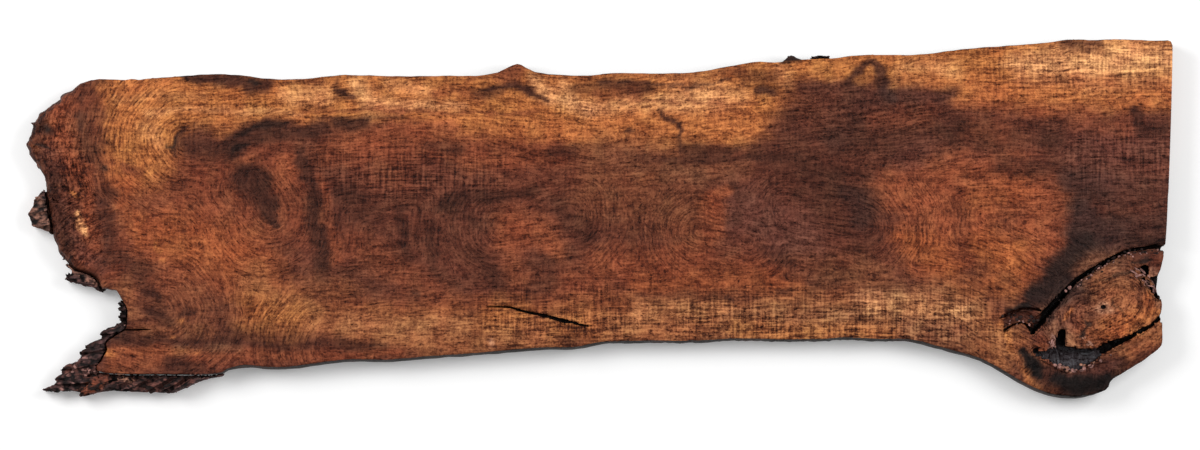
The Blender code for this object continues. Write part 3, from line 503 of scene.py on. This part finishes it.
# Their colour, how many, their size in millimetres, how long they are for their width, how far
# they stray from their line, the lowest they lie in millimetres, and the line
CRUMBS = (
    ("rose", 30, 2.1, 1.2, 1, 50, ((1164, 251), (1130, 254), (1102, 267), (1076, 286))),
    ("soot", 40, 2.6, 1.3, 1.6, 49, ((1168, 249), (1130, 252), (1102, 265), (1060, 300))),
    ("rose", 4, 3.2, 1.1, 0.8, 50, ((1071, 287), (1061, 296))),
    ("rose", 20, 3.6, 1.3, 1.4, 44, ((1056, 366), (1074, 371), (1092, 365), (1112, 355))),
    ("bone", 8, 3, 1.2, 1.6, 44, ((1060, 368), (1074, 372), (1100, 361))),
    ("rose", 10, 2.6, 1.5, 1.4, 44, ((1049, 336), (1053, 350))),
    ("soot", 14, 3.2, 1.4, 2, 47, ((1000, 315), (1020, 318), (1036, 322))),
    ("rose", 8, 2.2, 1.4, 1.8, 47, ((1004, 326), (1018, 322), (1032, 326))),
    ("rose", 24, 2, 4.5, 2.4, 44, ((1134, 271), (1146, 278), (1158, 294))),
    ("bone", 6, 2.6, 2, 1.4, 46, ((1086, 340), (1092, 344))),
    ("rose", 30, 1.7, 1.6, 0.9, 0, ((140, 376), (172, 376), (206, 375))),
    ("bone", 8, 2.8, 3, 1.8, 0, ((116, 376), (132, 382))),
    ("rose", 16, 2.2, 1.6, 3, 0, ((70, 366), (96, 374))),
    ("soot", 24, 3.4, 2, 4, 0, ((60, 384), (120, 384), (180, 384))),
    # painted shade: the scales in the notch are painted soot black
    ("soot", 16, 2.8, 1.8, 1.6, 0, ((118, 304), (122, 318), (124, 328))),
)

# Where the wood's light and dark differ most, in the same form; half is the usual amount
WILD_PLACES = (
    (0.72, ((44, 130, 44), (60, 180, 44), (80, 240, 36))),
    (0.68, ((1060, 340, 50), (1120, 310, 60))),
    (0.66, ((1004, 336, 16), (1030, 366, 16))),
    (0.6, ((820, 120, 40), (920, 116, 34))),
    (0.62, ((500, 330, 24), (960, 325, 28))),
)

# How deep the saw's cross-wise marks show, in the same form
MARK_STRENGTHS = (
    (1, ((330, 175, 30), (480, 175, 30))),
    (0.9, ((500, 310, 30), (620, 310, 30))),
    (0.9, ((700, 315, 30), (1000, 315, 30))),
    (0.9, ((1100, 160, 40), (1170, 160, 40))),
    (0.7, ((1000, 70, 30), (1170, 70, 30))),
)


def steps(points):
    """How far along and down the face the points lie, in steps."""
    return points[:, 0] / STEP + DATUM_ALONG, DATUM_DOWN - points[:, 1] / STEP


def place(along, down, height=THICKNESS):
    return Vector(((along - DATUM_ALONG) * STEP, (DATUM_DOWN - down) * STEP, height))


def leg_gap(along, down, start, end):
    """How far each place is from one leg of a line, and the share of the leg gone."""
    run = end[0] - start[0]
    drop = end[1] - start[1]
    share = ((along - start[0]) * run + (down - start[1]) * drop) / (run * run + drop * drop)
    share = np.clip(share, 0, 1)
    return np.hypot(along - start[0] - share * run, down - start[1] - share * drop), share


def line_gap(along, down, points):
    """How far each place is from a line through the points, in steps."""
    legs = zip(points, points[1:])
    return np.min([leg_gap(along, down, start, end)[0] for start, end in legs], axis=0)


def stain_reach(along, down, points):
    """How far each place is from a stain's middle line, 1 at its edge."""
    reaches = []
    for start, end in zip(points, points[1:]):
        gap, share = leg_gap(along, down, start, end)
        reaches.append(gap / (start[2] + share * (end[2] - start[2])))
    return np.min(reaches, axis=0)


def eased(values, low, high):
    """0 below low, 1 above high and a smooth change between."""
    share = np.clip((values - low) / (high - low), 0, 1)
    return share * share * (3 - 2 * share)


def wander(along, down, long, tall, seed):
    """Smooth noise over the face, from -1 to 1."""
    spots = zip((along / long).tolist(), (down / tall).tolist())
    return np.array([noise.noise(Vector((a, b, seed))) for a, b in spots])


def rough(points, size, seed):
    """Smooth noise in space, from -1 to 1."""
    spots = (points / size + seed).tolist()
    return np.array([noise.noise(Vector(spot)) for spot in spots])


def linear(colour):
    """An eye colour, 0 to 255, as the amounts of light that a shader takes."""
    share = np.clip(np.asarray(colour, float), 0, 255) / 255
    return LIGHT_SHARE * np.where(share <= 0.04045, share / 12.92, ((share + 0.055) / 1.055) ** 2.4)


def wood(name):
    return np.array(WOOD[name], float)


def mixed(first, second, share):
    """The first where the share is 0, the second where it is 1."""
    return first * (1 - share) + second * share


def stained(along, down):
    """The face's colour at each place, as an eye colour."""
    moved_along = along + 7 * wander(along, down, 34, 20, 1.3) + 4 * wander(along, down, 12, 7, 5.1)
    moved_down = down + 4 * wander(along, down, 40, 16, 9.7) + 3 * wander(along, down, 12, 6, 2.9)
    blots = wander(along, down, 9, 5, 8.5) + 0.8 * wander(along, down, 22, 9, 4.5)
    tone = np.tile(wood("heart"), (len(along), 1))
    for colour, strength, softness, points in STAINS:
        reach = stain_reach(moved_along, moved_down, points) + 0.35 * softness * blots
        low = 1 - 1.2 * softness
        high = 1.1 + 1.5 * softness
        cover = strength * (1 - eased(reach, low, high))[:, None]
        tone = mixed(tone, wood(colour), cover)
    return tone


def strongest(along, down, zones, least):
    """The greatest strength that any zone gives each place."""
    best = np.full(along.shape, least)
    for strength, points in zones:
        reach = stain_reach(along, down, points)
        best = np.maximum(best, strength * (1 - eased(reach, 0.5, 1.4)))
    return best


def ring_field(along, down):
    """How many steps of growth lie between each place and its ring line."""
    moved_along = along + 5 * wander(along, down, 30, 24, 3.3)
    moved_down = down + 4 * wander(along, down, 36, 20, 7.7)
    field = np.full(along.shape, 1e9)
    for line in RING_LINES:
        gap = line_gap(moved_along, moved_down, line)
        nearer = np.minimum(field, gap)
        field = nearer - 3 * np.exp(-np.abs(np.minimum(field, 1e4) - gap) / 6)
    knot = line_gap(moved_along, moved_down, KNOT_RING_LINE)
    return np.where(in_oval(along, down, KNOT_OVAL), knot, field)


def in_oval(along, down, oval):
    return np.hypot((along - oval[0]) / oval[2], (down - oval[1]) / oval[3]) < 1


def sign(operation):
    """The methods for one of Python's signs, with the value before it and behind it."""
    return (
        lambda self, other: self.finish.worked(operation, self, other),
        lambda self, other: self.finish.worked(operation, other, self),
    )


class Value:
    """A number in a finish that Python's own signs work on."""

    __add__, __radd__ = sign("ADD")
    __sub__, __rsub__ = sign("SUBTRACT")
    __mul__, __rmul__ = sign("MULTIPLY")
    __truediv__, __rtruediv__ = sign("DIVIDE")
    __pow__, __rpow__ = sign("POWER")

    def __init__(self, finish, socket):
        self.finish = finish
        self.socket = socket


class Finish:
    """One material and the nodes that make it."""

    def __init__(self, name, gloss):
        self.material = bpy.data.materials.new(name)
        self.material.use_nodes = True
        self.tree = self.material.node_tree
        self.shader = self.tree.nodes["Principled BSDF"]
        self.put("Specular IOR Level", gloss)

    def put(self, name, value):
        self.feed(self.shader.inputs[name], value)

    def feed(self, socket, value):
        if isinstance(value, Value):
            value = value.socket
        if isinstance(value, bpy.types.NodeSocket):
            self.tree.links.new(value, socket)
        else:
            socket.default_value = value

    def node(self, kind, settings, inputs):
        made = self.tree.nodes.new("ShaderNode" + kind)
        for name, value in settings.items():
            setattr(made, name, value)
        for name, value in inputs.items():
            self.feed(made.inputs[name], value)
        return made

    def worked(self, operation, first, second):
        made = self.node("Math", {"operation": operation}, {0: first, 1: second})
        return Value(self, made.outputs[0])

    def swing(self, value):
        """1 at the crest of each turn of the value, and -1 between the crests."""
        return self.worked("SINE", value * math.tau, 0.0)

    def ramp(self, value, low, high):
        inputs = {"Value": value, "From Min": low, "From Max": high}
        made = self.node("MapRange", {"interpolation_type": "SMOOTHSTEP"}, inputs)
        return Value(self, made.outputs["Result"])

    def place(self):
        """Places in steps of 2 mm, whole and in three numbers."""
        coords = self.node("TexCoord", {}, {}).outputs["Object"]
        inputs = {0: coords, "Scale": 1 / STEP}
        scaled = self.node("VectorMath", {"operation": "SCALE"}, inputs).outputs[0]
        return scaled, self.parted(scaled)

    def layer(self, name):
        return self.node("Attribute", {"attribute_name": name}, {}).outputs

    def parted(self, vector):
        parts = self.node("SeparateXYZ", {}, {0: vector})
        return [Value(self, socket) for socket in parts.outputs]

    def at(self, first, second, third):
        return self.node("CombineXYZ", {}, {0: first, 1: second, 2: third}).outputs[0]

    def noise(self, where, scale, detail=2, twist=0):
        inputs = {"Vector": where, "Scale": scale, "Detail": detail, "Distortion": twist}
        return Value(self, self.node("TexNoise", {}, inputs).outputs[0])

    def mottling(self, sides, sizes, detail=2, twist=0):
        """Smooth noise from -0.5 to 0.5, with the size of its spots along each side in steps."""
        where = self.at(*[side / size for side, size in zip(sides, sizes)])
        return self.noise(where, 1, detail, twist) - 0.5

    def blend(self, first, second, share, way="MIX"):
        settings = {"data_type": "RGBA", "blend_type": way, "clamp_factor": True}
        return self.node("Mix", settings, {0: share, 6: first, 7: second}).outputs[2]

    def bump(self, height, distance, strength):
        inputs = {"Height": height, "Distance": distance, "Strength": strength}
        self.put("Normal", self.node("Bump", {}, inputs).outputs[0])


def walnut_finish():
    """Oiled wood: the tone laid on the board, made lighter and darker by the grain."""
    finish = Finish("oiled_walnut", 0.1)
    where, (x, y, z) = finish.place()
    layer = finish.layer("tone")
    wild = Value(finish, layer["Alpha"])
    ring, ring_strength, marks = finish.parted(finish.layer("grain")["Vector"])
    patchy = finish.ramp(finish.noise(where, 0.03), 0.35, 0.65)
    wobble = finish.noise(where, 0.09) * 5
    rings = finish.swing((ring + wobble) / 3.8) * ring_strength * (0.35 + patchy * 0.65)
    streaks = finish.mottling((ring, x, y), (1.9, 17, 17))
    lines = finish.mottling((ring, x, y), (4.5, 80, 80))
    curls = finish.noise(where, 0.33, 2, 1.2) - 0.5
    figure = finish.mottling((x, y, z), (13, 7, 10), 2, 0.8)
    clouds = finish.mottling((x, y, z), (44, 20, 20))
    across = finish.mottling((x, y, z), (2.4, 26, 30), 1)
    along = finish.mottling((x, y, z), (30, 2.4, 30), 1)
    pores = finish.ramp(finish.mottling((ring, x, y), (1.5, 5, 5), 1), 0.1, 0.22)
    folds = finish.mottling((x, y, z), (4.5, 6, 5), 3, 0.6)
    broken = folds * finish.ramp(wild, 0.55, 0.75) * 4.5
    fine = streaks * 2.7 + curls * 3.3 + (across + along) * marks * 3.4 - pores
    light = (fine + lines * 1.5 + figure * 2.3 + clouds * 1.3) * wild * 2 + rings * 0.24 + broken
    light = light - light * light * 0.22 + 0.13
    warm = finish.noise(where, 0.05) - 0.5
    green = light * 1.2 + warm * 0.6 - 0.06
    blue = light * 1.2 + warm * 0.5 - 0.12
    tint = finish.at(2.0 ** light, 2.0 ** green, 2.0 ** blue)
    inputs = {0: layer["Color"], 1: tint}
    colour = finish.node("VectorMath", {"operation": "MULTIPLY"}, inputs).outputs[0]
    finish.put("Base Color", colour)
    finish.put("Roughness", 0.52 + streaks * 0.3)
    finish.bump(light + broken * 3, 0.0006, 0.7)
    return finish.material


def bark_finish():
    """Dry bark, with flakes and threads."""
    finish = Finish("weathered_bark", 0.25)
    where, (x, y, z) = finish.place()
    tone = finish.layer("tone")["Color"]
    flakes = finish.noise(where, 0.3, 4, 0.8)
    threads = finish.noise(finish.at(x / 9, y / 1.6, z / 1.6), 1, 3)
    light = finish.ramp(flakes * 0.5 + threads * 0.5, 0.3, 0.7)
    tint = finish.blend((0.35, 0.3, 0.3, 1), (1.9, 1.8, 1.75, 1), light)
    finish.put("Base Color", finish.blend(tone, tint, 1.0, "MULTIPLY"))
    finish.put("Roughness", 0.7 + flakes * 0.15)
    finish.bump(light, 0.0012, 0.8)
    return finish.material


def welded(node):
    """A copy of a CAD node's mesh with its loose triangles joined."""
    bm = bmesh.new()
    bm.from_mesh(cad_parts[node].data)
    bmesh.ops.remove_doubles(bm, verts=bm.verts, dist=TOUCHING)
    return bm


def flat_faces(bm, level, axis=0, past=-REACH_ALONG):
    """The faces that lie flat at a level, those with a corner beyond a place along an axis."""
    found = []
    for face in bm.faces:
        if abs(face.normal.z) > 0.99 and abs(face.calc_center_bounds().z - level) < TOUCHING:
            if max(vert.co[axis] for vert in face.verts) > past:
                found.append(face)
    return found


def cut_in_squares(bm, level, size):
    """Cuts the flat face at a level into small squares, up to its outline and its cracks."""
    flat = set(flat_faces(bm, level))
    inner = [edge for edge in bm.edges if all(face in flat for face in edge.link_faces)]
    bmesh.ops.dissolve_limit(
        bm, angle_limit=0.01, use_dissolve_boundaries=False, verts=[], edges=inner, delimit=set()
    )
    for axis, reach in ((0, REACH_ALONG), (1, REACH_ACROSS)):
        normal = Vector((1 - axis, axis, 0))
        for cut in np.arange(-reach, reach, size).tolist():
            faces = flat_faces(bm, level, axis, cut)
            if not faces:
                break
            edges = {edge for face in faces for edge in face.edges}
            verts = {vert for face in faces for vert in face.verts}
            bmesh.ops.bisect_plane(
                bm, geom=[*faces, *edges, *verts], dist=TOUCHING, plane_co=normal * cut,
                plane_no=normal
            )


def in_triangles(bm):
    """Cuts every face in triangles, without pairs that lie back to back on the same corners."""
    bmesh.ops.triangulate(bm, faces=[face for face in bm.faces if len(face.verts) > 3])
    faces_on = {}
    for face in bm.faces:
        faces_on.setdefault(frozenset(face.verts), []).append(face)
    doubled = [face for faces in faces_on.values() if len(faces) > 1 for face in faces]
    bmesh.ops.delete(bm, geom=doubled, context="FACES")


def split_long_edges(bm, longest, rounds):
    """Splits each triangle's longest side where it is longer than wanted at its middle."""
    for _ in range(rounds):
        in_triangles(bm)
        bm.verts.index_update()
        bm.edges.index_update()
        spots = np.array([vert.co for vert in bm.verts])
        ends = np.array([(edge.verts[0].index, edge.verts[1].index) for edge in bm.edges])
        sides = np.array([[edge.index for edge in face.edges] for face in bm.faces])
        first = spots[ends[:, 0]]
        second = spots[ends[:, 1]]
        length = np.linalg.norm(first - second, axis=1)
        over = np.zeros(len(length), bool)
        over[sides[np.arange(len(sides)), length[sides].argmax(axis=1)]] = True
        over &= length > longest((first + second) / 2)
        if over.sum() < FEWEST_SPLITS:
            break
        edges = [edge for edge, long in zip(bm.edges, over) if long]
        bmesh.ops.subdivide_edges(bm, edges=edges, cuts=1)
    in_triangles(bm)


def slab_edge_length(spots):
    """The longest edge wanted at each place on the board."""
    along, down = steps(spots)
    height = spots[:, 2]
    length = np.full(len(spots), SIDE_EDGE)
    length[height > THICKNESS - 0.00001] = FACE_EDGE
    folded = (along < BURL_SIDE_END) | in_oval(along, down, KNOT_OVAL)
    length[folded & (height > 0.02)] = FOLD_EDGE
    length[height < 0.002] = UNDER_EDGE
    return length


def surface(bm):
    """Where the mesh's points are, and which way is out at each."""
    bm.normal_update()
    return np.array([vert.co for vert in bm.verts]), np.array([vert.normal for vert in bm.verts])


def sink(bm, inward):
    """Moves the points inward, none of them above the board's face."""
    for vert, way in zip(bm.verts, inward.tolist()):
        vert.co -= Vector(way)
        vert.co.z = min(vert.co.z, THICKNESS)


def shown(name, data):
    """An object in the scene for the mesh, lamp or lens."""
    thing = bpy.data.objects.new(name, data)
    bpy.context.scene.collection.objects.link(thing)
    return thing


def meshed(name, bm, material):
    mesh = bpy.data.meshes.new(name)
    bm.to_mesh(mesh)
    bm.free()
    mesh.materials.append(material)
    return shown(name, mesh)


def made_piece(name, bm, material):
    """An object for the mesh, smooth between its sharp edges."""
    piece = meshed(name, bm, material)
    piece.data.shade_smooth()
    piece.data.set_sharp_from_angle(angle=SHARP_ANGLE)
    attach(piece, "root")
    return piece


def lay(mesh, name, kind, values):
    """An attribute on the mesh's points."""
    layer = mesh.attributes.new(name, kind, "POINT")
    word = "color" if kind == "FLOAT_COLOR" else "vector"
    layer.data.foreach_set(word, np.ascontiguousarray(values, np.float32).ravel())


def with_alpha(tone, alpha=1):
    return np.column_stack([linear(tone), np.ones(len(tone)) * alpha])


def slab_tone(spots):
    """The board's colour at its points: figured on the face, and near black on the live edge,
    partly its own dark colour and partly painted shade.
    """
    along, down = steps(spots)
    tone = stained(along, down)
    height = spots[:, 2]
    depth = THICKNESS - height
    run = rough(spots * np.array((0.2, 0.2, 1)), 0.004, 4.0)[:, None]
    patchy = eased(rough(spots, 0.06, 7.0), -0.1, 0.5)[:, None]
    # The live edge is painted near black: partly the wood's own dark edge colour, partly painted
    # shade on the board's sides.
    edge = wood("soot") * (0.6 + 0.35 * run)
    edge += patchy * 0.3 * wood("umber")
    burl = 1 - eased(along + 14 * rough(spots, 0.05, 2.0), BURL_SIDE_END, 160)[:, None]
    edge = mixed(edge, wood("umber") * (1 + 0.5 * run), burl)
    # Painted shade: inside the knot's swelling the walls below the face are painted black, over the
    # crevice's own dark bark.
    edge[in_oval(along, down, SWELLING_OVAL)] = wood("black")
    sawn = eased(spots[:, 0], *SAWN_END)[:, None]
    edge = mixed(edge, wood("earth") * (0.9 + 0.2 * run), sawn)
    pit_floor = (stain_reach(along, down, PIT_FLOOR) < 1) & (depth > 0.014) & (depth < 0.04)
    edge[pit_floor] = wood("slate")
    pocket = (stain_reach(along, down, POCKET) < 1) & (depth > 0.003)
    edge[pocket] = wood("umber") * 1.25
    steep = np.where(along < BURL_FACE_END, 0.018, 0.003)
    # Below the face's rim the colour turns to the edge's, laying the painted shade round the sides.
    side = eased(depth, 0.0006, steep) * (height > 0.001)
    # Painted shade: the underside is painted at 0.55 of the face's colour.
    tone[height < 0.001] *= 0.55
    return mixed(tone, edge, side[:, None])


def slab():
    """The board: its face and edge in fine points, the live edge ridged along its length."""
    bm = welded("slab")
    cut_in_squares(bm, THICKNESS, FACE_SQUARE)
    cut_in_squares(bm, 0.0, UNDER_SQUARE)
    split_long_edges(bm, slab_edge_length, 8)
    spots, normals = surface(bm)
    upright = 1 - eased(np.abs(normals[:, 2]), 0.5, 0.9)
    upright *= spots[:, 0] < RIDGES_END
    ridge = 0.5 + 0.5 * rough(spots * np.array((0.25, 0.25, 1)), 0.006, 2.0)
    lumps = 0.5 + 0.5 * rough(spots, 0.022, 9.0)
    depth = upright * EDGE_RELIEF * (ridge + lumps)
    along, down = steps(spots)
    wild = strongest(along, down, WILD_PLACES, 0.5)
    folds = np.abs(rough(spots * np.array((1.4, 0.8, 1)), 0.018, 5.0))
    bumps = 0.5 + 0.5 * rough(spots, 0.009, 1.0)
    above = eased(spots[:, 2], 0.004, 0.02)
    depth += eased(wild, 0.5, 0.7) * above * (BURL_FOLDS * folds + BURL_BUMPS * bumps)
    face = spots[:, 2] > THICKNESS - 0.003
    for hollow, points in HOLLOWS:
        reach = stain_reach(along, down, points) + 0.5 * (bumps - 0.5)
        depth += 0.001 * hollow * (1 - eased(reach, 0.1, 1.3)) * face
    sink(bm, normals * depth[:, None])
    piece = made_piece("walnut_slab", bm, walnut_finish())
    lay(piece.data, "tone", "FLOAT_COLOR", with_alpha(slab_tone(spots), wild))
    ring = ring_field(along, down)
    strength = strongest(along, down, RING_STRENGTHS, 0.3) * face
    marks = strongest(along, down, MARK_STRENGTHS, 0.35) * face
    lay(piece.data, "grain", "FLOAT_VECTOR", np.stack([ring, strength, marks], axis=1))
    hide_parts("slab")
    return piece


def bark_piece(node, name, material):
    """A node of bark with its plates ridged and broken up, painted shade in its hollows and cracks
    and painted highlights on its raised rims.
    """
    bm = welded(node)
    split_long_edges(bm, lambda spots: np.full(len(spots), BARK_EDGE), 10)
    spots, normals = surface(bm)
    threads = 0.5 + 0.5 * rough(spots * np.array((0.35, 1, 1)), 0.004, 3.0)
    lumps = 0.5 + 0.5 * rough(spots, 0.011, 6.0)
    cracks = 1 - eased(np.abs(rough(spots * np.array((0.6, 1, 1)), 0.012, 8.0)), 0.02, 0.16)
    depth = BARK_THREADS * threads + BARK_LUMPS * lumps + BARK_CRACKS * cracks
    sink(bm, normals * depth[:, None])
    # Painted shade and highlight: sunken places are painted black, and the raised rims painted
    # rose.
    proud = (1 - eased(0.45 * threads + 0.55 * lumps, 0.25, 0.75))[:, None]
    tone = mixed(wood("black"), wood("bark") * 1.4, proud)
    rim_highlights = eased(proud[:, 0] + 0.5 * rough(spots, 0.012, 5.0), 0.75, 1.2)[:, None]
    tone = mixed(tone, wood("rose"), rim_highlights)
    # Painted shade: the cracks between the plates are painted near black.
    tone *= (1 - 0.85 * cracks)[:, None]
    along, down = steps(spots)
    blots = 0.4 * rough(spots, 0.01, 2.0)
    for colour, strength, softness, points in BARK_STAINS:
        reach = stain_reach(along, down, points) + blots
        cover = strength * (1 - cracks) * (1 - eased(reach, 1 - softness, 1 + softness))
        cover = np.minimum(1.6 * proud, 1) * cover[:, None]
        tone = mixed(tone, wood(colour), cover)
    piece = made_piece(name, bm, material)
    lay(piece.data, "tone", "FLOAT_COLOR", with_alpha(tone))
    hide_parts(node)
    return piece


def dropped(spot, carriers):
    """Where a bit let go above a spot comes to rest on what is below it."""
    best = None
    for carrier in carriers:
        found, where, _, _ = carrier.ray_cast(spot, Vector((0, 0, -1)))
        if found and where.z > LOWEST_REST and (best is None or where.z > best.z):
            best = where
    return best


def crumbs(carriers, material):
    """Broken bits of bark and torn wood in the crevice, on the pit's rim and on the bark."""
    chance = random.Random(11)
    bm = bmesh.new()
    tone = bm.verts.layers.float_color.new("tone")
    bpy.context.view_layer.update()
    for colour, number, size, stretch, stray, lowest, line in CRUMBS:
        for _ in range(number):
            leg = chance.randrange(len(line) - 1)
            start, end = line[leg:leg + 2]
            share = chance.random()
            along = mixed(start[0], end[0], share) + chance.gauss(0, stray)
            down = mixed(start[1], end[1], share) + chance.gauss(0, stray)
            rest = dropped(place(along, down, DROP_FROM), carriers)
            if rest is None:
                continue
            radius = 0.001 * size * chance.uniform(0.5, 1.3)
            rest.z = max(rest.z + 0.35 * radius, 0.001 * lowest)
            rest.z = min(rest.z, THICKNESS - 1.1 * radius)
            slope = math.atan2(start[1] - end[1], end[0] - start[0])
            turn = Matrix.Rotation(slope + chance.gauss(0, 0.5), 4, "Z")
            shape = Matrix.Diagonal((stretch, 1, 0.75, 1))
            bit = bmesh.ops.create_icosphere(
                bm, subdivisions=1, radius=radius, matrix=Matrix.Translation(rest) @ turn @ shape
            )
            fade = chance.uniform(0.5, 1.1)
            colours = (*(linear(WOOD[colour]) * fade), 1)
            for vert in bit["verts"]:
                vert.co += Vector([chance.uniform(-0.22, 0.22) * radius for _ in range(3)])
                vert[tone] = colours
    piece = made_piece("bark_crumbs", bm, material)


def floor():
    """The pale floor that the board lies on."""
    bm = bmesh.new()
    bmesh.ops.create_grid(bm, x_segments=1, y_segments=1, size=14)
    finish = Finish("pale_floor", 0.1)
    finish.put("Base Color", (0.93, 0.93, 0.93, 1))
    finish.put("Roughness", 0.9)
    finish.put("Emission Color", (1, 1, 1, 1))
    finish.put("Emission Strength", 0.13)
    sheet = meshed("floor", bm, finish.material)


def aimed(thing, start, target):
    thing.location = start
    thing.rotation_euler = (Vector(target) - Vector(start)).to_track_quat("-Z", "Y").to_euler()


def lamp(name, start, size, power):
    """A square soft light over the board."""
    light = bpy.data.lights.new(name, "AREA")
    light.shape = "SQUARE"
    light.size = size
    light.energy = power
    aimed(shown(name, light), start, (0, 0, 0))


def lighting():
    world = bpy.data.worlds.new("studio")
    bpy.context.scene.world = world
    world.use_nodes = True
    sky = world.node_tree.nodes["Background"].inputs
    sky["Color"].default_value = (1, 1, 1, 1)
    sky["Strength"].default_value = 0.36
    lamp("left_softbox", (-3.4, 1.6, 3.4), 2.6, 150)
    lamp("right_softbox", (3.4, 1.2, 3.4), 2.6, 118)
    bpy.context.scene.view_settings.view_transform = "Standard"


def camera():
    """A long lens over the board, leaning a little to its near side."""
    lens = bpy.data.cameras.new("camera")
    lens.lens = LENS
    lens.sensor_width = SENSOR
    thing = shown("camera", lens)
    target = place(*SEEN_MIDDLE)
    distance = SEEN_STEPS * STEP * LENS / SENSOR
    start = target + distance * Vector((0, -math.sin(LEAN), math.cos(LEAN)))
    aimed(thing, start, target)
    bpy.context.scene.camera = thing


bark = bark_finish()
carriers = [slab()]
for part in ("foot", "tuft", "shelf", "chip"):
    carriers.append(bark_piece("bark_" + part, part + "_bark", bark))
crumbs(carriers, bark)
floor()
lighting()
camera()
